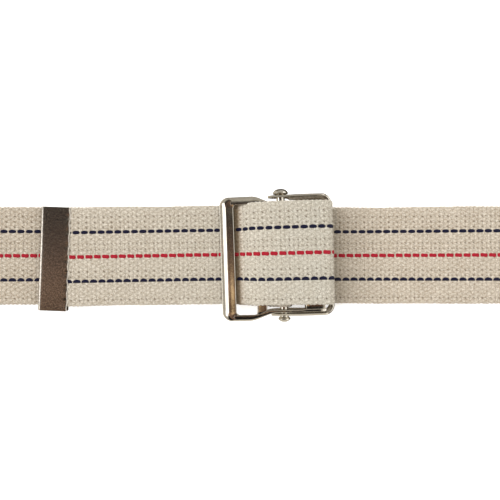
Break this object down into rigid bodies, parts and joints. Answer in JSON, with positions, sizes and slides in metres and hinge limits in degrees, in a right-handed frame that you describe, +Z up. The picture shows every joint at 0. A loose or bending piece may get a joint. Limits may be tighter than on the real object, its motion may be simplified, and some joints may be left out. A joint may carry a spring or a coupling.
{
  "type": "gait belt",
  "caption": "Cotton webbing transfer belt fastened in a flat loop by a toothed lever buckle pinned in a stirrup, with a crimped metal strap tip.",
  "frame": {"origin": "on the surface the belt lies on, under the middle of its box", "axes": "+X along the belt, from the metal tip's side to the plain strand's side; +Y across the belt, towards the domed rivet head; +Z up out of the surface"},
  "size_m": [0.553, 0.0676, 0.031],
  "materials": {
    "cotton_webbing": "undyed woven cotton with navy and red stripe yarns",
    "stitching_thread": "twisted natural thread",
    "polished_nickel": "polished nickel plate",
    "tip_metal": "satin nickel plated sheet"
  },
  "bodies": {
    "root": {"return_strand": "cotton_webbing", "left_end_bend": "cotton_webbing", "right_end_bend": "cotton_webbing", "left_rising_strand": "cotton_webbing", "right_rising_strand": "cotton_webbing", "left_front_strand": "cotton_webbing", "fixed_end_top_ply": "cotton_webbing", "fixed_end_fold_back": "cotton_webbing", "pivot_loop": "cotton_webbing", "right_front_strand": "cotton_webbing", "jaw_turn": "cotton_webbing", "tail_near_buckle": "cotton_webbing", "stitch_row_1": "stitching_thread", "stitch_row_2": "stitching_thread", "stitch_row_3": "stitching_thread", "stitch_row_4": "stitching_thread", "stirrup": "polished_nickel", "pivot_rivet": "polished_nickel"},
    "lever": {"lever": "polished_nickel", "front_span": "cotton_webbing"},
    "tail": {"tail_end": "cotton_webbing", "strap_tip": "tip_metal"}
  },
  "joints": [
    {"name": "lever_lift", "type": "hinge", "parent": "root", "child": "lever", "pos_m": [0.0168, 0.00018, 0.0138], "axis": [-0.0332, 0.9995, 0], "range_deg": [0, 25], "deforming": ["front_span", "jaw_turn", "tail_near_buckle"]},
    {"name": "tail_lift", "type": "hinge", "parent": "root", "child": "tail", "pos_m": [-0.05815, -0.00022, 0.0112], "axis": [-0.0175, 0.9998, 0], "range_deg": [0, 35]}
  ]
}
